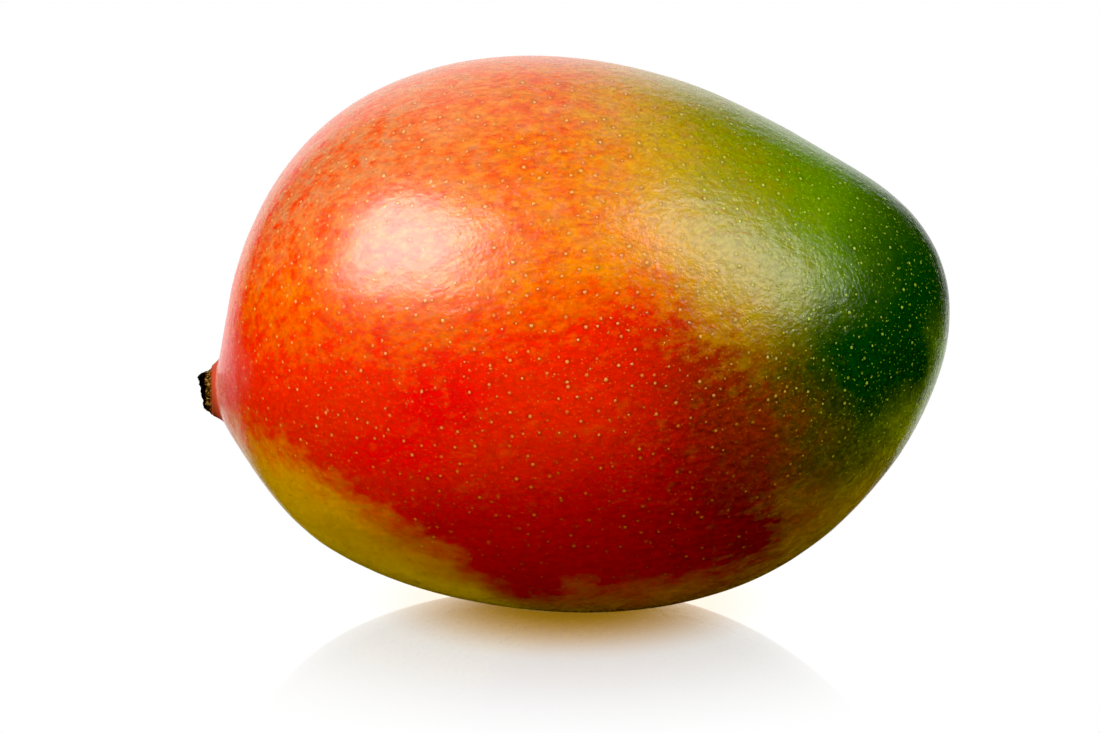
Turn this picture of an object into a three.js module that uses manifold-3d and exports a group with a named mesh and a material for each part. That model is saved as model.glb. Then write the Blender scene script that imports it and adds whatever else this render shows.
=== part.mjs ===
// A ripe mango lying on its side, with the short woody stub of its stalk.
//
// Units are millimetres and +Z is up. The origin is the middle of the small flat spot that the fruit
// rests on. The stalk is at the -X end, which is a little lower than the beak at the +X end, and the
// two broad cheeks face -Y and +Y.
//
// The fruit is worked out in a frame of its own: its long axis is X, from the stalk pole at -X to the
// beak pole at +X, and its back is up. Every section across that axis is nearly an ellipse.

import * as THREE from "three";
import { mergeVertices } from "three/addons/utils/BufferGeometryUtils.js";
import Module from "manifold-3d";

// ---- Driving dimensions ----

// The fruit
const HALF_LENGTH = 60.5; // half the distance between the two poles, before the nose is drawn out
const HALF_HEIGHT = 46.8; // of the middle section, from back to belly
const HEIGHT_TAPER = 6.4; // the stalk half is higher and the beak half lower, by up to half of this
const HALF_THICKNESS = 42.6; // of the middle section, from cheek to cheek
const THICKNESS_TAPER = 2.5; // the same from cheek to cheek
const END_SLIMMING = 2.0; // both ends are slimmer than an ellipsoid's, in both directions
const OUTLINE_WAVE = 0.9; // slims the height halfway to the stalk and fills it out halfway to the beak
const BACK_ARCH = 1.8; // rise of the middle section above the straight axis
const ARCH_TO_STALK = 7.4; // the stalk half arches up and the beak half down, by up to 0.38 of this
const NOSE_LENGTH = 3.5; // the skin is drawn out towards the stalk
const NOSE_RADIUS = 9.4;
const SINUS_DEPTH = 2.0; // times the sine of its angle: the hollow in the back, before the beak
const SINUS_ANGLE = THREE.MathUtils.degToRad(136.5); // seen from the middle, measured from the stalk
const SINUS_SPREAD = THREE.MathUtils.degToRad(16.8);

// The collar: the swelling of the skin that carries the stalk
const COLLAR_HEIGHT = 2.6; // above the skin round it, before it is trimmed flat
const COLLAR_REACH = 0.8; // from the nose's tip to the middle of the collar's flat top
const COLLAR_TOP_RADIUS = 3.6; // before it is trimmed
const COLLAR_FOOT_RADIUS = 6.0;
const COLLAR_FLARE = 1.8; // above 1 the side is hollow
const STALK_OFFSET = 1.45; // the stalk grows this far above the long axis
const STALK_RISE = THREE.MathUtils.degToRad(10.5); // it leans from the long axis towards the back
const STALK_SWING = THREE.MathUtils.degToRad(13.5); // and towards the cheek at -Y

// The stalk stub, measured from the collar's flat top
const STUB_LENGTH = 1.8;
const STUB_BASE_RADIUS = 3.5;
const STUB_BEND_RADIUS = 3.3; // where the bark starts to narrow
const STUB_BEND_HEIGHT = 0.9;
const STUB_TIP_RADIUS = 3.0;
const STUB_TIP_HEIGHT = 1.5; // where the edge starts to round over
const STUB_EDGE_RADIUS = 2.7;
const STUB_PITH_RADIUS = 1.6; // the shrunken pith in the cut end
const STUB_PITH_DEPTH = 0.35; // in the middle, and half of it at the pith's edge
const STUB_SLANT = Math.tan(THREE.MathUtils.degToRad(9)); // the cut end stands out more above
const BROAD_RIBS = 3;
const BROAD_RIBS_TURN = 0.8; // radians
const FINE_RIBS = 8;
const RIB_HEIGHT = 0.03; // as a share of the radius
const TORN_SIDES = 2; // how often the cut end is torn higher
const TORN_TURN = 1.1; // radians
const TORN_HEIGHT = 0.16;
const PEG_RADIUS = 2.5; // the root of the stub, sunk in the collar's seat
const PEG_DEPTH = 0.8;
const GAP = 0.3; // between the stub and the fruit

// How it lies
const LYING_TILT = THREE.MathUtils.degToRad(10.2); // the beak end is raised by this angle
const FOOT_DEPTH = 0.7; // how far the skin is pressed flat where it rests
const FOOT_SHIFT = -2.5; // from the middle of the fruit to the middle of the flat spot, along X

// Fineness of the surfaces
const AROUND = 64; // corners of each section of the fruit
const FIRST_RING = 0.041; // polar angle of the first ring, which lies on the flat top of the collar
const FINE_STEP = 0.009; // polar angle between rings on the collar
const STEP_GROWTH = 1.25;
const COARSE_STEP = THREE.MathUtils.degToRad(3.6);
const STUB_AROUND = 32;

// ---- Solids ----

const wasm = await Module();
wasm.setup();

// A closed geometry, moved by a matrix, as a solid that can be cut and joined.
function solidOf(geometry, matrix = new THREE.Matrix4()) {
  const bare = new THREE.BufferGeometry().setAttribute("position", geometry.getAttribute("position"));
  if (geometry.index) bare.setIndex(geometry.index);
  const merged = mergeVertices(bare.clone().applyMatrix4(matrix), 1e-4);
  return new wasm.Manifold(
    new wasm.Mesh({
      numProp: 3,
      vertProperties: merged.attributes.position.array,
      triVerts: new Uint32Array(merged.index.array),
    }),
  );
}

function geometryOf(solid) {
  const mesh = solid.getMesh();
  const geometry = new THREE.BufferGeometry()
    .setAttribute("position", new THREE.BufferAttribute(mesh.vertProperties, 3))
    .setIndex(new THREE.BufferAttribute(mesh.triVerts, 1));
  geometry.computeVertexNormals();
  return geometry;
}

// ---- The fruit ----

// A hill of height 1 that has sunk to about a third at `spread` from its middle.
const hill = (distance, spread) => Math.exp(-((distance / spread) ** 2));

// The point of the skin at a polar angle from the stalk pole and a turn round the long axis,
// counted from the cheek at +Y, over the back at a quarter turn.
function skinPoint(polar, turn) {
  const [sin, cos] = [Math.sin(polar), Math.cos(polar)];
  const slimming = END_SLIMMING * cos ** 2;
  const wave = OUTLINE_WAVE * Math.cos(3 * polar);
  const halfHeight = sin * (HALF_HEIGHT + HEIGHT_TAPER * cos - slimming + wave);
  const halfThickness = sin * (HALF_THICKNESS + THICKNESS_TAPER * cos - slimming);
  const arch = sin ** 2 * (BACK_ARCH + ARCH_TO_STALK * cos);
  const overBack = ((1 + Math.sin(turn)) / 2) ** 3;
  const sinus = SINUS_DEPTH * sin * overBack * hill(polar - SINUS_ANGLE, SINUS_SPREAD);

  const y = halfThickness * Math.cos(turn);
  const aboveAxis = halfHeight * Math.sin(turn);
  const drawnOut = polar < Math.PI / 2 ? stalkEnd(y, aboveAxis) : 0;
  return new THREE.Vector3(-HALF_LENGTH * cos - drawnOut, y, aboveAxis + arch - sinus);
}

// How far the skin is drawn out to -X by the nose and the collar, seen along the long axis.
function stalkEnd(y, aboveAxis) {
  const nose = NOSE_LENGTH * hill(Math.hypot(y, aboveAxis), NOSE_RADIUS);
  const fromStalk = Math.hypot(y, aboveAxis - STALK_OFFSET);
  const upSide = (COLLAR_FOOT_RADIUS - fromStalk) / (COLLAR_FOOT_RADIUS - COLLAR_TOP_RADIUS);
  return nose + COLLAR_HEIGHT * THREE.MathUtils.clamp(upSide, 0, 1) ** COLLAR_FLARE;
}

// Polar angles of the rings of corners: close together on the collar, wider over the body.
function ringAngles() {
  const angles = [];
  const collarEnd = (COLLAR_FOOT_RADIUS + STALK_OFFSET) / HALF_HEIGHT;
  let step = FINE_STEP;
  for (let polar = FIRST_RING; polar < Math.PI - COARSE_STEP / 2; polar += step) {
    angles.push(polar);
    if (polar > collarEnd) step = Math.min(step * STEP_GROWTH, COARSE_STEP);
  }
  return angles;
}

function skinGeometry() {
  const rings = ringAngles();
  const corners = [skinPoint(0, 0)];
  for (const polar of rings)
    for (let i = 0; i < AROUND; i++) corners.push(skinPoint(polar, (2 * Math.PI * i) / AROUND));
  corners.push(skinPoint(Math.PI, 0));

  const corner = (ring, i) => 1 + ring * AROUND + (i % AROUND);
  const [first, last] = [0, corners.length - 1];
  const faces = [];
  for (let i = 0; i < AROUND; i++) {
    faces.push(first, corner(0, i + 1), corner(0, i));
    faces.push(last, corner(rings.length - 1, i), corner(rings.length - 1, i + 1));
    for (let ring = 0; ring < rings.length - 1; ring++) {
      const [a, b] = [corner(ring, i), corner(ring, i + 1)];
      const [c, d] = [corner(ring + 1, i), corner(ring + 1, i + 1)];
      faces.push(a, b, d, a, d, c);
    }
  }
  return new THREE.BufferGeometry().setFromPoints(corners).setIndex(faces);
}

// A closed shape turned about Y from its outline, given as pairs of radius and height.
function turned(outline) {
  return new THREE.LatheGeometry(
    outline.map(([radius, height]) => new THREE.Vector2(radius, height)),
    STUB_AROUND,
  );
}

// Puts a shape that stands on its own Y axis on the collar's flat top, pointing out of the fruit.
function standOnCollar(object) {
  object.position.set(-(HALF_LENGTH + NOSE_LENGTH + COLLAR_REACH), 0, STALK_OFFSET);
  object.rotation.set(0, STALK_RISE, Math.PI / 2 + STALK_SWING);
  object.updateMatrix();
}

// What is cut away to trim the collar flat and to sink the seat for the stub's root.
function seatSolid() {
  const hole = PEG_RADIUS + GAP;
  const floor = -PEG_DEPTH - GAP;
  const cutter = turned([
    [0, floor],
    [hole, floor],
    [hole, 0],
    [COLLAR_FOOT_RADIUS, 0],
    [COLLAR_FOOT_RADIUS, COLLAR_HEIGHT],
    [0, COLLAR_HEIGHT],
  ]);
  const place = new THREE.Object3D();
  standOnCollar(place);
  return solidOf(cutter, place.matrix);
}

// ---- The stalk stub ----

// Modelled with its axis along Y: the root is below 0, and the rough cut end is up. Ribs grow along
// it, and the cut end is torn a little higher on two sides.
function stubGeometry() {
  const geometry = turned([
    [0, -PEG_DEPTH],
    [PEG_RADIUS, -PEG_DEPTH],
    [PEG_RADIUS, GAP],
    [STUB_BASE_RADIUS, GAP],
    [STUB_BEND_RADIUS, STUB_BEND_HEIGHT],
    [STUB_TIP_RADIUS, STUB_TIP_HEIGHT],
    [STUB_EDGE_RADIUS, STUB_LENGTH],
    [STUB_PITH_RADIUS, STUB_LENGTH - STUB_PITH_DEPTH / 2],
    [0, STUB_LENGTH - STUB_PITH_DEPTH],
  ]);
  const place = geometry.getAttribute("position");
  for (let i = 0; i < place.count; i++) {
    const [x, y, z] = [place.getX(i), place.getY(i), place.getZ(i)];
    const aboveBase = Math.max(0, y - GAP);
    const upStub = aboveBase / (STUB_LENGTH - GAP);
    const turn = Math.atan2(z, x);
    const broadRib = Math.sin(BROAD_RIBS * turn + BROAD_RIBS_TURN);
    const ribs = 1 + upStub * RIB_HEIGHT * (broadRib + Math.sin(FINE_RIBS * turn));
    const fromMiddle = Math.hypot(x, z) / STUB_TIP_RADIUS;
    const torn = TORN_HEIGHT * upStub ** 2 * fromMiddle * Math.sin(TORN_SIDES * turn + TORN_TURN);
    place.setXYZ(i, x * ribs, y + torn + upStub * STUB_SLANT * z, z * ribs);
  }
  return geometry;
}

// ---- Placing ----

function named(name, geometry, colour, roughness) {
  const material = new THREE.MeshStandardMaterial({ color: colour, roughness, metalness: 0 });
  const mesh = new THREE.Mesh(geometry, material);
  mesh.name = name;
  return mesh;
}

const skin = skinGeometry();

// The fruit's own frame, laid down with the flat spot at the origin.
const lying = new THREE.Group();
lying.rotation.y = -LYING_TILT;
lying.updateMatrix();
const lowest = new THREE.Box3().setFromBufferAttribute(
  skin.clone().applyMatrix4(lying.matrix).getAttribute("position"),
).min.z;
lying.position.set(-FOOT_SHIFT, 0, -lowest - FOOT_DEPTH);
lying.updateMatrix();

// Everything below the surface that the fruit rests on, seen from the fruit's own frame.
function belowFloor() {
  const size = 4 * HALF_LENGTH;
  const place = lying.matrix.clone().invert().multiply(new THREE.Matrix4().makeTranslation(0, 0, -size / 2));
  return solidOf(new THREE.BoxGeometry(size, size, size), place);
}

const fruit = named(
  "fruit",
  geometryOf(solidOf(skin).subtract(belowFloor()).subtract(seatSolid())),
  0xd9501e,
  0.35,
);

const stub = named("stalk_stub", stubGeometry(), 0x3a2416, 0.85);
standOnCollar(stub);

lying.add(fruit, stub);
const mango = new THREE.Group();
mango.add(lying);

export default mango;
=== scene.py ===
"""A ripe mango in a white studio: its skin and the dry stub of its stalk."""

import math

import bmesh
import bpy
from mathutils import Matrix, Vector


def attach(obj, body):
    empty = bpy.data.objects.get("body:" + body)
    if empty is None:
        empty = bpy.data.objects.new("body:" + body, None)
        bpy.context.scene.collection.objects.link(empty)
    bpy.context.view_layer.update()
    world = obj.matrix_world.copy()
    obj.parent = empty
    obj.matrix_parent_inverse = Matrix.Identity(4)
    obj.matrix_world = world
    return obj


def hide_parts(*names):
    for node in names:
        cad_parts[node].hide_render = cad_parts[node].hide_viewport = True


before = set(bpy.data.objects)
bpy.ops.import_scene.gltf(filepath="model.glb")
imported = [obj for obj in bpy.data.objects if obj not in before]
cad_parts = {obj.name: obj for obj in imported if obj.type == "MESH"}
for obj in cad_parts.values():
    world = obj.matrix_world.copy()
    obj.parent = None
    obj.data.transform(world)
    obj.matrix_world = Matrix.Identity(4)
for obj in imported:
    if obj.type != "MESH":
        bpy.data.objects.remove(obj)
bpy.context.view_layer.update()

MM = 0.001

# How the fruit lies. In the fruit's own frame its long axis is X, from the stalk to the beak, the
# front cheek faces -Y and its back is up.
LYING_TILT = math.radians(10.2)
FRUIT_MIDDLE = Vector((2.5, 0.0, 44.15)) * MM
LYING = Matrix.Translation(FRUIT_MIDDLE) @ Matrix.Rotation(-LYING_TILT, 4, "Y")

# The middle of the collar's flat top, in the fruit's own frame. The stalk leans from the long axis
# towards the back and the front cheek. In the stalk's own frame +Z points out of the fruit, +X up.
COLLAR_TOP = Vector((-64.8, 0.0, 1.45)) * MM
STALK_RISE = math.radians(10.5)
STALK_SWING = math.radians(13.5)
STALK_ON_FRUIT = (
    Matrix.Translation(COLLAR_TOP)
    @ Matrix.Rotation(STALK_RISE, 4, "Y")
    @ Matrix.Rotation(STALK_SWING, 4, "Z")
    @ Matrix.Rotation(math.radians(-90), 4, "Y")
)
STALK = LYING @ STALK_ON_FRUIT


# ---- Camera ----

LENS = 100.0
VIEW_TURN = math.radians(8.33)
VIEW_RISE = math.radians(11.95)
VIEW_DISTANCE = 507.9 * MM
VIEW_TARGET = Vector((-3.22, -1.84, 40.59)) * MM


def toward(turn, rise):
    """The direction from the fruit to something, turned from the front and raised above the horizon."""
    level = math.cos(rise)
    return Vector((math.sin(turn) * level, -math.cos(turn) * level, math.sin(rise)))


def aim(piece, place, target):
    """Puts a camera or light at a place and points it at a target."""
    piece.location = place
    piece.rotation_euler = (target - place).to_track_quat("-Z", "Y").to_euler()


def add_camera():
    bpy.ops.object.camera_add()
    camera = bpy.context.object
    camera.data.lens = LENS
    aim(camera, VIEW_TARGET + toward(VIEW_TURN, VIEW_RISE) * VIEW_DISTANCE, VIEW_TARGET)
    bpy.context.scene.camera = camera


add_camera()


# ---- Materials: the tools ----


class Value:
    """A number, colour or vector that a material's nodes work out. Operators add Math nodes."""

    def __init__(self, finish, socket):
        self.finish = finish
        self.socket = socket

    def other(self, output):
        """Another output of the same node."""
        return Value(self.finish, self.socket.node.outputs[output])

    def __add__(self, other):
        return self.finish.maths("ADD", self, other)

    def __sub__(self, other):
        return self.finish.maths("SUBTRACT", self, other)

    def __rsub__(self, other):
        return self.finish.maths("SUBTRACT", other, self)

    def __mul__(self, other):
        return self.finish.maths("MULTIPLY", self, other)

    def __truediv__(self, other):
        return self.finish.maths("DIVIDE", self, other)

    __radd__ = __add__
    __rmul__ = __mul__

    def smooth(self, low, high):
        """0 at low, 1 at high, and a smooth slope between them. With low above high it falls."""
        settings = {"interpolation_type": "SMOOTHSTEP"}
        inputs = {"Value": self, "From Min": low, "From Max": high}
        return self.finish.node("ShaderNodeMapRange", settings, inputs)


class Finish:
    """A material and the few calls that its nodes are added with."""

    def __init__(self, name, **constants):
        self.material = bpy.data.materials.new(name)
        self.material.use_nodes = True
        self.tree = self.material.node_tree
        self.shader = self.tree.nodes["Principled BSDF"]
        for socket, value in constants.items():
            self.shader.inputs[socket.replace("_", " ")].default_value = value

    def node(self, kind, settings, inputs, output=0):
        """Adds a node. Its settings come first, then what its sockets hold or are linked to."""
        node = self.tree.nodes.new(kind)
        for name, value in settings.items():
            setattr(node, name, value)
        for name, value in inputs.items():
            self.feed(node.inputs[name], value)
        return Value(self, node.outputs[output])

    def feed(self, socket, value):
        if isinstance(value, Value):
            self.tree.links.new(value.socket, socket)
        else:
            socket.default_value = value

    def surface(self, value):
        """Makes a shader of its own the material's surface, in place of the usual one."""
        self.feed(self.tree.nodes["Material Output"].inputs["Surface"], value)

    def maths(self, operation, *values):
        return self.node("ShaderNodeMath", {"operation": operation}, dict(enumerate(values)))

    def vectors(self, operation, *values, output=0):
        inputs = dict(enumerate(values))
        return self.node("ShaderNodeVectorMath", {"operation": operation}, inputs, output)

    def length(self, vector):
        return self.vectors("LENGTH", vector, output="Value")

    def parts(self, vector):
        """The X, Y and Z of a vector."""
        x = self.node("ShaderNodeSeparateXYZ", {}, {0: vector})
        return x, x.other("Y"), x.other("Z")

    def blend(self, share, below, above):
        """Lays one colour over another. In a Mix node sockets 6 and 7 are its colours, 2 the result."""
        settings = {"data_type": "RGBA"}
        return self.node("ShaderNodeMix", settings, {0: share, 6: below, 7: above}, 2)

    def noise(self, place, size, detail=2.0, rough=0.5, stretch=(1, 1, 1)):
        """Cloudy noise from 0 to 1. Its patches are about `size` across, drawn out by `stretch`."""
        scale = tuple(1 / share for share in stretch)
        inputs = {"Vector": self.vectors("MULTIPLY", place, scale), "Scale": 1 / size}
        return self.node("ShaderNodeTexNoise", {}, {**inputs, "Detail": detail, "Roughness": rough})

    def bump(self, height, depth):
        """Lets a height from 0 to 1 raise the surface by up to `depth`."""
        inputs = {"Height": height, "Distance": depth, "Strength": 1.0}
        self.feed(self.shader.inputs["Normal"], self.node("ShaderNodeBump", {}, inputs))


def colour(red, green, blue):
    """A colour as it looks on a screen, from 0 to 255, as the linear colour that a node holds."""

    def linear(level):
        share = level / 255
        return share / 12.92 if share <= 0.04045 else ((share + 0.055) / 1.055) ** 2.4

    return (linear(red), linear(green), linear(blue), 1.0)


# ---- Modelling: the tools ----


def select_only(piece):
    bpy.ops.object.select_all(action="DESELECT")
    piece.select_set(True)
    bpy.context.view_layer.objects.active = piece


def apply_modifier(piece, kind, **settings):
    """Adds a modifier to a piece and applies it."""
    select_only(piece)
    modifier = piece.modifiers.new(kind.title(), kind)
    for name, value in settings.items():
        setattr(modifier, name, value)
    bpy.ops.object.modifier_apply(modifier=modifier.name)


def everywhere(place):
    """The test that every point passes."""
    return True


def edit_points(piece, chosen):
    """Opens a piece for editing, with the points selected whose place passes a test."""
    select_only(piece)
    bpy.ops.object.mode_set(mode="EDIT")
    bpy.ops.mesh.select_mode(type="VERT")
    bpy.ops.mesh.select_all(action="DESELECT")
    mesh = bmesh.from_edit_mesh(piece.data)
    for point in mesh.verts:
        point.select = chosen(point.co)
    mesh.select_flush_mode()
    bmesh.update_edit_mesh(piece.data)


def end_edit():
    bpy.ops.object.mode_set(mode="OBJECT")


def point_group(piece, name, weight):
    """A named group of a piece's points, each with the weight that its place gives."""
    group = piece.vertex_groups.new(name=name)
    for point in piece.data.vertices:
        group.add([point.index], weight(point.co), "REPLACE")
    return name


def roughen(piece, cloud, size, strength, group, stretch=(1, 1, 1), tilt=0.0, **settings):
    """Pushes a group of points in and out by a cloudy texture, drawn out along its own axes.

    `cloud` is the texture's name and how finely it is broken up.
    """
    texture = bpy.data.textures.new(cloud[0], "CLOUDS")
    texture.noise_scale = size
    texture.noise_depth = cloud[1]
    bpy.ops.object.empty_add(type="PLAIN_AXES", rotation=(0, -tilt, 0))
    grain = bpy.context.object
    grain.scale = stretch
    apply_modifier(
        piece,
        "DISPLACE",
        texture=texture,
        texture_coords="OBJECT",
        texture_coords_object=grain,
        strength=strength,
        mid_level=0.5,
        vertex_group=group,
        **settings,
    )
    bpy.data.objects.remove(grain)


def settle(piece, matrix):
    """Moves a piece that was modelled at the origin to its place, which goes into its mesh."""
    select_only(piece)
    piece.matrix_world = matrix
    bpy.ops.object.transform_apply(location=True, rotation=True, scale=True)


def ramp(value, low, high):
    """0 below low, 1 above high, and a smooth slope between them."""
    share = min(max((value - low) / (high - low), 0.0), 1.0)
    return share * share * (3 - 2 * share)


def hand_over(piece, name, node, material):
    """Names a finished piece and puts it in the place of its CAD node."""
    piece.name = piece.data.name = name
    piece.data.materials.clear()
    piece.data.materials.append(material)
    select_only(piece)
    bpy.ops.object.shade_smooth()
    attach(piece, "root")
    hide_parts(node)


# ---- The skin ----

# The seat in the collar that the stub stands in: where its points are found, and how deep it is
SEAT_RADIUS = 3.0 * MM
SEAT_DEPTH = 1.1 * MM

# Points closer than this are one: at first, and once the seat's bottom is level with its rim
SAME_POINT = 0.001 * MM
SEAT_WELD = 0.05 * MM
QUAD_ANGLE = math.radians(40)
WRAP_REACH = 20 * MM

# The net of the skin: a cube with evenly cut sides, blown up to a ball and drawn out past the fruit
CUBE_CUTS = 59
BALL_SIZE = Vector((67, 46, 49)) * MM

# Where it is cut finer, round the stalk's axis and down from the collar's top
FINER_REACHES = (9.0 * MM, 6.5 * MM)
FINER_DEPTH = 12 * MM

# The unevenness: the size and the swing of each kind of swelling, in mm, drawn out along the fruit.
# It sets in between two heights above the foot, and between two distances from the stalk's axis.
SWELLS = ((22, 0.5), (8, 0.14), (2.6, 0.04))
SWELL_STRETCH = (1.6, 1.0, 1.0)
FREE_ABOVE_FOOT = (1.5 * MM, 9 * MM)
FREE_FROM_STALK = (6.5 * MM, 12 * MM)


def on_stalk(place):
    """A place as seen from the collar's top: how far from the stalk's axis, how far out along it."""
    local = STALK.inverted() @ place
    return math.hypot(local.x, local.y), local.z


def fruit_form():
    """A smooth copy of the fruit's solid, with the stalk's seat closed, to wrap the skin on."""
    select_only(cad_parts["fruit"])
    bpy.ops.object.duplicate()
    form = bpy.context.object

    def in_seat(place):
        radius, height = on_stalk(place)
        return radius < SEAT_RADIUS and -1.2 * SEAT_DEPTH < height < -0.5 * SEAT_DEPTH

    edit_points(form, everywhere)
    bpy.ops.mesh.remove_doubles(threshold=SAME_POINT)
    end_edit()
    edit_points(form, in_seat)
    bpy.ops.transform.translate(value=STALK.to_3x3() @ Vector((0, 0, SEAT_DEPTH)))
    bpy.ops.mesh.select_all(action="SELECT")
    bpy.ops.mesh.remove_doubles(threshold=SEAT_WELD)
    bpy.ops.mesh.tris_convert_to_quads(face_threshold=QUAD_ANGLE)
    end_edit()
    apply_modifier(form, "SUBSURF", levels=2, render_levels=2)
    return form


def wrap(skin, form, method):
    apply_modifier(
        skin,
        "SHRINKWRAP",
        target=form,
        wrap_method=method,
        wrap_mode="ON_SURFACE",
        use_negative_direction=True,
        project_limit=WRAP_REACH,
    )


def undulate(skin):
    """Gives the skin its slight unevenness, but not where it rests nor round the stalk."""

    def free(place):
        return ramp(place.z, *FREE_ABOVE_FOOT) * ramp(on_stalk(place)[0], *FREE_FROM_STALK)

    group = point_group(skin, "free", free)
    for size, swing in SWELLS:
        roughen(skin, ("swell", 2), size * MM, swing * MM, group, SWELL_STRETCH, LYING_TILT)


def fruit_skin():
    form = fruit_form()
    bpy.ops.object.select_all(action="DESELECT")
    bpy.ops.mesh.primitive_cube_add(size=2)
    skin = bpy.context.object
    edit_points(skin, everywhere)
    bpy.ops.mesh.subdivide(number_cuts=CUBE_CUTS)
    bpy.ops.mesh.subdivide(number_cuts=1)
    end_edit()
    apply_modifier(skin, "CAST", cast_type="SPHERE", factor=1.0, use_radius_as_size=False, size=1.0)
    edit_points(skin, everywhere)
    bpy.ops.transform.resize(value=BALL_SIZE)
    end_edit()
    settle(skin, LYING)
    wrap(skin, form, "PROJECT")

    # A finer net round the stalk, where the shape is small
    for reach in FINER_REACHES:

        def near_stalk(place):
            across, out = on_stalk(place)
            return across < reach and out > -FINER_DEPTH

        edit_points(skin, near_stalk)
        bpy.ops.mesh.subdivide(number_cuts=1)
        end_edit()
    wrap(skin, form, "NEAREST_SURFACEPOINT")
    bpy.data.objects.remove(form)
    undulate(skin)
    return skin


# ---- The stub of the stalk ----

# Heights above the collar's top, and the radius of the stub at each, in mm
STUB_SIDES = 96
STUB_PROFILE = (
    (-0.5, 4.25), (-0.35, 4.2), (-0.2, 4.08), (-0.05, 3.95), (0.1, 3.82), (0.25, 3.7),
    (0.4, 3.6), (0.55, 3.52), (0.7, 3.45), (0.85, 3.38), (1.0, 3.32), (1.15, 3.26),
    (1.3, 3.2), (1.45, 3.12), (1.58, 3.02), (1.7, 2.87), (1.8, 2.65),
)

# Its foot stands off the stalk's axis, in mm, and it leans back across it as it rises
STUB_FOOT = Vector((0.2, -0.24, 0.0))
STUB_LEAN = Vector((-0.1, 0.12, 1.0))

# Every ring above the start of the slant is turned by this much more, so the end slants
STUB_SLANT = math.radians(0.9)
SLANT_START = 0.6

# The end: the widths of its rings, in mm, and how much lower each lies than the one outside it
STUB_END_RINGS = (0.2, 0.3, 0.4, 0.45, 0.4)
RING_SINK = 0.05 * MM

# Between which heights the bark and the torn end set in
BARK_FROM = (-0.5 * MM, 0.0)
TORN_FROM = (1.0 * MM, 1.6 * MM)


def stalk_stub():
    """The stub, drawn up ring by ring, with a slanting end, rough bark and a torn edge."""
    height, radius = STUB_PROFILE[0]
    middle = STUB_FOOT * MM + Vector((0, 0, height * MM))
    bpy.ops.object.select_all(action="DESELECT")
    bpy.ops.mesh.primitive_circle_add(vertices=STUB_SIDES, radius=radius * MM, fill_type="NGON")
    stub = bpy.context.object
    edit_points(stub, everywhere)
    bpy.ops.transform.translate(value=middle)
    for next_height, next_radius in STUB_PROFILE[1:]:
        step = STUB_LEAN * (next_height - height) * MM
        middle = middle + step
        growth = next_radius / radius
        bpy.ops.mesh.extrude_region_move(TRANSFORM_OT_translate={"value": step})
        bpy.ops.transform.resize(value=(growth, growth, 1), center_override=middle)
        if height > SLANT_START:
            bpy.ops.transform.rotate(
                value=STUB_SLANT, orient_axis="Y", orient_type="GLOBAL", center_override=middle
            )
        height, radius = next_height, next_radius
    for width in STUB_END_RINGS:
        bpy.ops.mesh.inset(thickness=width * MM, depth=-RING_SINK)
    bpy.ops.mesh.poke()
    end_edit()
    bark = point_group(stub, "bark", lambda place: ramp(place.z, *BARK_FROM))
    end = point_group(stub, "end", lambda place: ramp(place.z, *TORN_FROM))
    roughen(stub, ("ridges", 2), 0.5 * MM, 0.5 * MM, bark, (1, 1, 5), direction="NORMAL")
    roughen(stub, ("scales", 3), 0.9 * MM, 0.4 * MM, bark, direction="NORMAL")
    roughen(stub, ("torn_end", 3), 1.6 * MM, 0.8 * MM, end, direction="Z")
    settle(stub, STALK)
    return stub


# ---- The skin's finish ----

# The ground colours, under the blush
YELLOW = colour(208, 157, 0)
AMBER = colour(206, 120, 0)
OLIVE = colour(176, 138, 0)
GREEN = colour(84, 120, 0)
FAR_GREEN = colour(120, 125, 10)
DEEP_GREEN = colour(4, 55, 0)
BEAK_GREEN = colour(146, 180, 50)
# Partly the belly's own yellow, partly painted light thrown up from the floor
BELLY_YELLOW_AND_FLOOR_LIGHT = colour(252, 212, 0)
# Partly the skin's own lime, partly painted rim light at the lower edge by the beak
LIME_AND_RIM_LIGHT = colour(220, 188, 8)
BELLY_GREEN = colour(190, 198, 20)

# The blush
RED = colour(208, 28, 0)
PURE_RED = colour(208, 0, 0)
CRIMSON = colour(176, 0, 0)
MAROON = colour(108, 2, 0)
BROWN = colour(116, 37, 0)

# The haze and the streaks on the back, and the stalk end. The haze is partly painted sheen, and the two
# pale colours at the stalk end are a painted sheen and a painted reflection
# Partly the skin's salmon patches, partly painted sheen of the light on the upper back
CORAL_AND_PAINTED_SHEEN = colour(186, 116, 78)
RUSSET = colour(152, 64, 4)
# Painted sheen: the white wall mirrored at grazing angles above the stalk
PAINTED_WALL_SHEEN = colour(206, 128, 120)
# Painted reflection: the white wall mirrored as a pale ring at the skin's edge round the stalk
PAINTED_RIM_REFLECTION = colour(208, 150, 132)
COLLAR_RED = colour(176, 52, 18)
COLLAR_BROWN = colour(132, 44, 8)

# The pores, by the colour of the skin that they are in
PORE_TAN = colour(232, 176, 90)
PORE_RUST = colour(228, 146, 36)
PORE_GREEN = colour(200, 230, 82)
PORE_DARK = colour(112, 92, 0)

# Where the regions lie: middle and reach in the fruit's own frame, in mm, and how strong they are.
# All places and sizes in the skin's finish are in those millimetres.
PURE_REDS = (((-18, -42, 1), (8, 10, 6)), ((-27, -38, -6), (9, 10, 3.5)))
DEEP_GREENS = (
    ((51.5, -15, -4.5), (13, 60, 10), 1.0),
    ((58, -10, 3), (9, 60, 11), 0.7),
    ((38, -20, -12), (12, 60, 14), 0.85),
    ((57, -6, 14), (10, 60, 12), 0.35),
)
FAR_GREENS = ((2, 44, 2), (44, 16, 26))
DARK_STREAK = ((-34, -38, -20), (13, 40, 1.5))

# The pores: how far apart, the radius of a dot, and the share of them that shows
LARGE_PORES = (2.8, 0.21, 0.8)
SMALL_PORES = (1.1, 0.09, 0.75)

PEEL_DEPTH = 0.25 * MM


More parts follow.
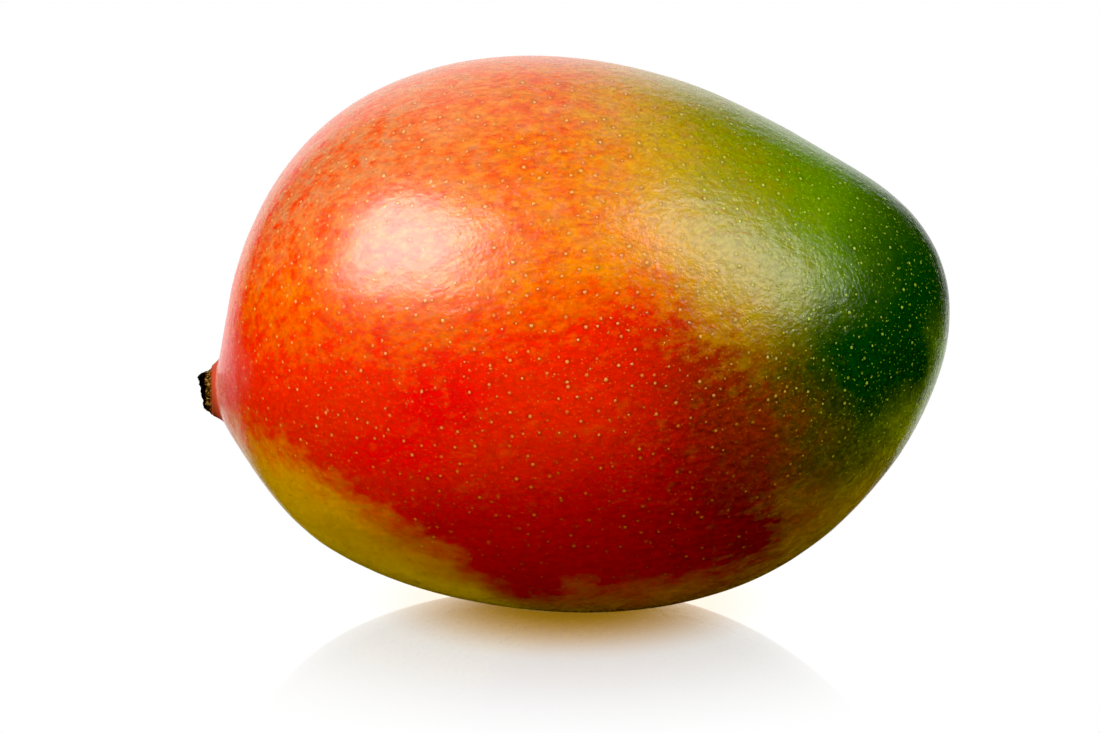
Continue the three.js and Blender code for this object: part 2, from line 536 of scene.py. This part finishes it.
def in_fruit(finish):
    """The place on the surface in the fruit's own frame, in millimetres."""
    place = finish.node("ShaderNodeTexCoord", {}, {}, "Object")
    inputs = {
        "Vector": place,
        "Location": FRUIT_MIDDLE,
        "Rotation": (0.0, -LYING_TILT, 0.0),
        "Scale": (MM, MM, MM),
    }
    return finish.node("ShaderNodeMapping", {"vector_type": "TEXTURE"}, inputs)


def patch(finish, place, middle, reach, softness=0.6):
    """1 inside an egg-shaped region round a middle, 0 well outside it."""
    offset = finish.vectors("DIVIDE", finish.vectors("SUBTRACT", place, middle), reach)
    return finish.length(offset).smooth(1 + softness, 1 - softness)


def wander(finish, place, size, amount, stretch=(1, 1, 1)):
    """Shifts a place about by noise, so that the edges painted from it are irregular."""
    shift = finish.noise(place, size, 2.0, 0.5, stretch).other("Color")
    shift = finish.vectors("SUBTRACT", shift, (0.5, 0.5, 0.5))
    shift = finish.vectors("MULTIPLY", shift, (amount, amount, amount))
    return finish.vectors("ADD", place, shift)


def ground_colour(finish, place, x, y, z):
    """The skin under its blush: yellow by the stalk, amber on the back, green at the beak, with painted
    light at its lower edges.
    """
    paint = finish.blend(z.smooth(-6, 16), YELLOW, AMBER)
    paint = finish.blend((x + z * 0.35).smooth(8, 40), paint, OLIVE)
    paint = finish.blend((x + z * 0.35).smooth(25, 53), paint, GREEN)
    paint = finish.blend(x.smooth(42, 58) * z.smooth(-22, -8) * 0.6, paint, DEEP_GREEN)
    paint = finish.blend(patch(finish, place, *FAR_GREENS) * 0.55, paint, FAR_GREEN)

    # The deep green is thin in places
    thin = finish.noise(place, 1.6, 4.0, 0.7, (2.0, 1, 1)).smooth(0.5, 0.8) * 0.4
    for middle, reach, strength in DEEP_GREENS:
        deep = patch(finish, place, middle, reach, 0.5) * strength * (1 - thin)
        paint = finish.blend(deep, paint, DEEP_GREEN)

    # Partly painted light: the low edge is made brighter as if lit from the floor
    paint = finish.blend((z + x * 0.5).smooth(-39, -52), paint, BELLY_YELLOW_AND_FLOOR_LIGHT)
    paint = finish.blend(x.smooth(46, 56) * z.smooth(-8, -26), paint, BELLY_GREEN)
    by_beak = x.smooth(40, 52) * y.smooth(-15, -3) * z.smooth(2, -11)
    paint = finish.blend(by_beak, paint, BEAK_GREEN)
    # Partly painted rim light: the lower edge by the beak is made paler
    return finish.blend((x * 0.8 - z * 1.2).smooth(62, 78), paint, LIME_AND_RIM_LIGHT)


def blush_share(x, y, z, mottle, flecks):
    """How densely the red lies: most in the middle, thin on the back, none by the beak."""
    below = z + 14
    bend = below.finish.maths("MINIMUM", below * below * 0.02, 22.0)
    toward_beak = (x + bend - z.smooth(-22, -32) * 5).smooth(46, 26)
    back = 1 - z.smooth(3, 22) * (1 - x.smooth(-10, -50) * 0.4) * 0.58
    from_stalk = x + 60
    by_stalk = (z + from_stalk * from_stalk * 0.016 + 6).smooth(-8, 9)
    underneath = z.smooth(-46, -31)
    far_side = 1 - y.smooth(8, 38) * 0.6
    share = toward_beak * back * by_stalk * underneath * far_side

    # It is broken up most where it is neither full nor bare
    uneven = z.smooth(-24, 0) * 0.35 + z.smooth(5, 30) * 0.55 + x.smooth(8, 28) * 0.5 + 0.65
    uneven = (mottle - 0.5) * uneven + (flecks - 0.5) * z.smooth(8, 28) * 0.6
    return share * 1.06 + uneven * share * (1.25 - share)


def blush_colour(finish, place, x, z):
    """The red itself: darker towards the belly, brown towards the beak, purest in two patches."""
    paint = finish.blend(z.smooth(2, -24), RED, CRIMSON)
    paint = finish.blend(x.smooth(0, 38) * z.smooth(16, -4), paint, MAROON)
    paint = finish.blend(x.smooth(14, 34) * z.smooth(-34, -17), paint, BROWN)
    for middle, reach in PURE_REDS:
        paint = finish.blend(patch(finish, place, middle, reach, 0.7), paint, PURE_RED)
    return paint


def haze_streaks_and_sheen(finish, paint, place, x, z, mottle):
    """The pale coral haze of the back, partly the skin's salmon patches and partly painted sheen, its
    russet streaks, and a painted sheen above the stalk.
    """
    # The coral on the upper back is partly the skin's own salmon patches and partly painted sheen
    pale_back = (z - x * 0.2).smooth(26, 46) * x.smooth(2, -26) * (1 - mottle) * 0.7
    haze = finish.noise(place, 3.0, 6.0, 0.8).smooth(0.48, 0.66) * z.smooth(14, 34) * 0.42
    paint = finish.blend(pale_back + haze * x.smooth(40, 20), paint, CORAL_AND_PAINTED_SHEEN)
    streaks = finish.noise(place, 1.3, 5.0, 0.75, (2.4, 1, 1)).smooth(0.5, 0.68)
    streaks = streaks * z.smooth(6, 24) * x.smooth(-40, -5) * x.smooth(48, 32)
    paint = finish.blend(streaks * 0.35, paint, RUSSET)
    # A painted sheen above the stalk, where the white wall is mirrored at grazing angles
    wall_sheen = x.smooth(-50, -61) * z.smooth(24, 8) * z.smooth(-4, 6) * 0.35
    return finish.blend(wall_sheen, paint, PAINTED_WALL_SHEEN)


def pores(finish, place, normal, spacing, radius, kept):
    """Round pores strewn over the skin: their dots, and a wider soft ring about each."""
    place = finish.vectors("MULTIPLY", place, (1 / spacing,) * 3)
    middle = finish.node("ShaderNodeTexVoronoi", {}, {"Vector": place, "Scale": 1.0}, "Position")
    offset = finish.vectors("SUBTRACT", place, middle)
    reach = finish.length(finish.vectors("CROSS_PRODUCT", offset, normal)) * spacing

    # Each pore has its own size, chance to show, and strength
    chance = finish.node("ShaderNodeSeparateColor", {}, {0: middle.other("Color")})
    reach = reach / (chance * 0.7 + 0.65)
    present = finish.maths("LESS_THAN", chance.other("Green"), kept)
    strength = chance.other("Blue") * 0.6 + 0.4
    dots = reach.smooth(radius * 1.3, radius * 0.5) * present * strength
    rings = reach.smooth(radius * 3.5, radius) * present * strength
    return dots, rings


def shading(finish, place, x, z, mottle, flecks, large_rings, small_rings):
    """What darkens the paint: flecks, most at the lower beak side, and the rings of the pores."""
    rough_side = x.smooth(5, 28) * z.smooth(4, -6) * 0.4
    dusk = x.smooth(-24, -46) * z.smooth(9, -4) * 0.14
    shade = (rough_side * 0.5 + 1.17 - flecks * (rough_side + 0.34)) * (1 - dusk)
    shade = shade * (1 - (0.5 - mottle) * rough_side * 0.7)
    shade = shade * (1 - z.smooth(20, 40) * 0.13)
    shade = shade * (1 - patch(finish, place, *DARK_STREAK, 0.8) * 0.15)
    return shade * (1 - large_rings * (x.smooth(-50, 0) * 0.2 + 0.08)) * (1 - small_rings * 0.1)


def stalk_end(finish, paint, place, mottle, flecks):
    """The pale ring round the stalk, a painted reflection of the white wall at the skin's edge, the
    reddish collar, and where the collar is.
    """
    on_collar = finish.vectors("SUBTRACT", place, COLLAR_TOP / MM)
    outwards = STALK_ON_FRUIT.to_3x3() @ Vector((0, 0, 1))
    height = finish.vectors("DOT_PRODUCT", on_collar, outwards, output="Value")
    across = finish.length(finish.vectors("CROSS_PRODUCT", on_collar, outwards))
    # A painted reflection of the white wall, as a pale ring round the stalk
    ring = (across + (mottle - 0.5) * 3.0).smooth(13, 5.5) * height.smooth(-16, -10) * 0.6
    paint = finish.blend(ring, paint, PAINTED_RIM_REFLECTION)
    aside = finish.parts(on_collar)[2]
    lip = across - aside * aside * 0.02 + (flecks - 0.5) * 0.5
    collar = lip.smooth(6.25, 5.75) * height.smooth(-8, -6)
    collar_paint = finish.blend(across.smooth(6.0, 4.3), COLLAR_RED, COLLAR_BROWN)
    return finish.blend(collar, paint, collar_paint), collar


def skin_finish():
    """Waxy skin: the ground colours, the blush over them, the marks of age, and the pores."""
    finish = Finish("mango_skin", IOR=1.5)
    place = in_fruit(finish)
    roughly = wander(finish, place, 16, 9)
    roughly = wander(finish, roughly, 3.2, 5, (2, 1, 1))
    x, y, z = finish.parts(roughly)
    mottle = finish.noise(place, 2.2, 5.0, 0.7, (1.6, 1, 1)).smooth(0.32, 0.68)
    flecks = finish.noise(place, 0.7, 4.0, 0.7, (2.0, 1, 1)).smooth(0.3, 0.7)

    share = blush_share(x, y, z, mottle, flecks)
    ground = ground_colour(finish, roughly, x, y, z)
    paint = finish.blend(share, ground, blush_colour(finish, roughly, x, z))
    paint = haze_streaks_and_sheen(finish, paint, place, x, z, mottle)

    spots = finish.node("ShaderNodeTexCoord", {}, {}, "Object")
    normal = spots.other("Normal")
    spots = finish.vectors("MULTIPLY", spots, (1 / MM,) * 3)
    large_dots, large_rings = pores(finish, spots, normal, *LARGE_PORES)
    small_dots, small_rings = pores(finish, spots, normal, *SMALL_PORES)
    shade = shading(finish, roughly, x, z, mottle, flecks, large_rings, small_rings)
    paint = finish.vectors("MULTIPLY", paint, shade)

    green = (x + z * 0.3).smooth(26, 44)
    yellow_patch = share.smooth(0.4, 0.05) * x.smooth(20, 0) * z.smooth(5, -5)
    dot_colour = finish.blend(z.smooth(3, -14), PORE_TAN, PORE_RUST)
    dot_colour = finish.blend(green, dot_colour, PORE_GREEN)
    dot_colour = finish.blend(yellow_patch, dot_colour, PORE_DARK)
    paint = finish.blend(large_dots * 0.65, paint, dot_colour)
    paint = finish.blend(small_dots * (0.4 + green * 0.3), paint, dot_colour)
    paint, collar = stalk_end(finish, paint, place, mottle, flecks)
    finish.feed(finish.shader.inputs["Base Color"], paint)

    # The relief of the peel, which is coarser towards the beak
    peel = finish.noise(place, 1.8, 3.0, 0.55, (1.3, 1, 1))
    grain = finish.noise(place, 0.6, 2.0, 0.5)
    pimples = peel * 0.7 + grain * 0.25 + large_dots * 0.26
    coarse = finish.parts(place)[0].smooth(-25, 25) * 0.75 + 0.4
    finish.bump(pimples * coarse, PEEL_DEPTH)
    finish.feed(finish.shader.inputs["Roughness"], flecks * 0.05 + (0.25 + collar * 0.35))
    return finish.material


# ---- The stub's finish ----

BARK_DARK = colour(36, 18, 5)
BARK_CREAM = colour(190, 142, 78)
BARK_CRACK = colour(24, 11, 3)
BARK_FOOT = colour(138, 50, 12)
BURNT = colour(10, 6, 2)
STRAND_DEPTH = 0.1 * MM


def stalk_finish():
    """Dry bark in brown and cream strands, reddish at its foot, and a blackened end."""
    finish = Finish("dry_stalk", Roughness=0.95, Specular_IOR_Level=0.05)
    place = finish.node("ShaderNodeTexCoord", {}, {}, "Object")
    inputs = {
        "Vector": place,
        "Location": STALK.to_translation(),
        "Rotation": STALK.to_euler(),
        "Scale": (MM, MM, MM),
    }
    place = finish.node("ShaderNodeMapping", {"vector_type": "TEXTURE"}, inputs)
    height = finish.parts(place)[2]
    strands = finish.noise(place, 0.4, 4.0, 0.7, (1, 1, 3)).smooth(0.46, 0.64)
    cracks = finish.noise(place, 0.7, 3.0, 0.6).smooth(0.5, 0.62)
    edge = height + (finish.noise(place, 0.8, 3.0, 0.6) - 0.5) * 1.5
    across = finish.length(finish.vectors("MULTIPLY", place, (1, 1, 0)))
    burnt = finish.maths("MAXIMUM", edge.smooth(0.8, 1.1), across.smooth(2.8, 2.4))

    paint = finish.blend(strands, BARK_DARK, BARK_CREAM)
    paint = finish.blend(cracks, paint, BARK_CRACK)
    paint = finish.blend(edge.smooth(0.35, -0.15), paint, BARK_FOOT)
    paint = finish.blend(burnt, paint, BURNT)
    finish.feed(finish.shader.inputs["Base Color"], paint)
    finish.bump(strands, STRAND_DEPTH)
    return finish.material


skin = fruit_skin()
hand_over(skin, "mango_skin", "fruit", skin_finish())
stub = stalk_stub()
hand_over(stub, "stalk_stub_bark", "stalk_stub", stalk_finish())


# ---- The studio: lights ----

LIT_MIDDLE = Vector((0, 0, 45 * MM))


def softbox(name, turn, rise, distance, width, height, radiance, roll=0.0, mirrored=True):
    """A rectangular light that faces the fruit, rolled about the line to it, in degrees and metres.

    A light that isn't mirrored gives its light but makes no highlight.
    """
    bpy.ops.object.light_add(type="AREA")
    light = bpy.context.object
    light.name = name
    light.data.shape = "RECTANGLE"
    light.data.size = width
    light.data.size_y = height
    light.data.energy = radiance * math.pi * width * height
    light.visible_camera = False
    light.visible_glossy = mirrored
    direction = toward(math.radians(turn), math.radians(rise))
    aim(light, LIT_MIDDLE + direction * distance, LIT_MIDDLE)
    light.rotation_euler.rotate_axis("Z", math.radians(roll))


softbox("left_softbox", -47.4, 33.3, 0.9, width=0.6, height=0.5, radiance=12.9, roll=7)
softbox("right_softbox", 55, 40.8, 0.9, width=0.45, height=0.65, radiance=5.5, roll=14.6)
softbox("ceiling", 0, 80, 1.3, width=2.4, height=2.0, radiance=0.7, mirrored=False)
softbox("back_softbox", 188, 12, 1.1, width=1.0, height=0.3, radiance=9.0, mirrored=False)


# ---- The studio: floor, wall and panel ----

WHITE = (1.0, 1.0, 1.0, 1.0)
# Painted light: the cream and amber that the fruit throws onto the floor close to it
CREAM_PAINTED_BOUNCE = (1.0, 0.965, 0.92, 1.0)
AMBER_PAINTED_BOUNCE = (1.0, 0.52, 0.06, 1.0)
BOUNCE_GREY = (0.25, 0.25, 0.25, 1.0)
MIRROR_ROUGHNESS = 0.05
FLOOR_SIZE = 8.0
BOUNCE_HEIGHT = -0.2 * MM
WALL_RADIUS = 1.6
WALL_HEIGHT = 2.5
WALL_MIDDLE = 0.65
WALL_CUTS = 7
WALL_GLOW = 1.2
PANEL_HEIGHT = 1.9
PANEL_GLOW = 0.8


def glow(name, strength):
    """A material that shines evenly."""
    finish = Finish(name)
    finish.surface(finish.node("ShaderNodeEmission", {}, {"Strength": strength}))
    return finish.material


def plane(name, size, height):
    bpy.ops.object.select_all(action="DESELECT")
    bpy.ops.mesh.primitive_plane_add(size=size, location=(0, 0, height))
    piece = bpy.context.object
    piece.name = name
    return piece


def hide_from(piece, *rays):
    """Hides a piece from some kinds of rays, such as the camera's or those that cast shadows."""
    for ray in rays:
        setattr(piece, "visible_" + ray, False)


def floor_finish():
    """White, with a painted glow of cream and amber close to the fruit for the light it throws there,
    and a mirror image that fades with distance.
    """
    finish = Finish("floor")
    place = finish.node("ShaderNodeTexCoord", {}, {}, "Object")
    reach = finish.length(place)
    share = reach.smooth(78 * MM, 18 * MM) * 0.32 + reach.smooth(35 * MM, 5 * MM) * 0.45
    # Painted light thrown by the fruit: cream, then amber closer in
    painted_bounce = finish.blend(reach.smooth(60 * MM, 20 * MM), WHITE, CREAM_PAINTED_BOUNCE)
    painted_bounce = finish.blend(reach.smooth(36 * MM, 10 * MM), painted_bounce, AMBER_PAINTED_BOUNCE)
    white = finish.node("ShaderNodeEmission", {}, {"Color": painted_bounce, "Strength": 1.0})
    glossy = {"Color": WHITE, "Roughness": MIRROR_ROUGHNESS}
    mirror = finish.node("ShaderNodeBsdfGlossy", {}, glossy)
    finish.surface(finish.node("ShaderNodeMixShader", {}, {0: share, 1: white, 2: mirror}))
    return finish.material


floor = plane("floor", FLOOR_SIZE, 0.0)
floor.data.materials.append(floor_finish())
hide_from(floor, "diffuse", "glossy", "shadow")

# What the floor throws back onto the fruit comes from a second, unseen floor just below
bounce = plane("floor_bounce", FLOOR_SIZE, BOUNCE_HEIGHT)
bounce.data.materials.append(Finish("floor_bounce", Roughness=1.0, Base_Color=BOUNCE_GREY).material)
hide_from(bounce, "camera", "glossy")


# A white wall behind, for what the skin and the floor mirror
def off_the_wall(place):
    """What is cut from the drum: all but a piece behind, whose right end leans to the left going up."""
    left_end = -0.95 * place.y
    right_end = 0.405 * place.y - 0.358 * place.z - 0.155
    return place.y < 0 or not left_end < place.x < right_end


bpy.ops.object.select_all(action="DESELECT")
bpy.ops.mesh.primitive_cylinder_add(
    vertices=96,
    radius=WALL_RADIUS,
    depth=WALL_HEIGHT,
    end_fill_type="NOTHING",
    location=(0, 0, WALL_MIDDLE),
)
wall = bpy.context.object
wall.name = "white_wall"
edit_points(wall, everywhere)
bpy.ops.mesh.subdivide(number_cuts=WALL_CUTS)
end_edit()
edit_points(wall, off_the_wall)
bpy.ops.mesh.delete(type="VERT")
end_edit()
wall.data.materials.append(glow("white_wall", WALL_GLOW))
hide_from(wall, "camera", "diffuse", "shadow")

# A white panel overhead, to the left and behind
top = plane("white_panel", 1.0, PANEL_HEIGHT)
top.data.materials.append(glow("white_panel", PANEL_GLOW))
edit_points(top, everywhere)
bpy.ops.transform.resize(value=(1.6, 1.2, 1.0))
bpy.ops.transform.translate(value=(-0.4, 0.75, 0.0))
end_edit()
hide_from(top, "camera", "diffuse", "shadow")


# ---- The studio: surroundings and print ----

# The white all round is seen by the camera alone, and the darkest tones are printed as black
BLACK_LEVEL = (0.005, 0.006, 0.01)

world = bpy.data.worlds.new("white")
bpy.context.scene.world = world
world.use_nodes = True
world.node_tree.nodes["Background"].inputs["Color"].default_value = WHITE
world.cycles_visibility.diffuse = False
world.cycles_visibility.glossy = False
view = bpy.context.scene.view_settings
view.view_transform = "Standard"
view.use_curve_mapping = True
view.curve_mapping.black_level = BLACK_LEVEL
view.curve_mapping.update()
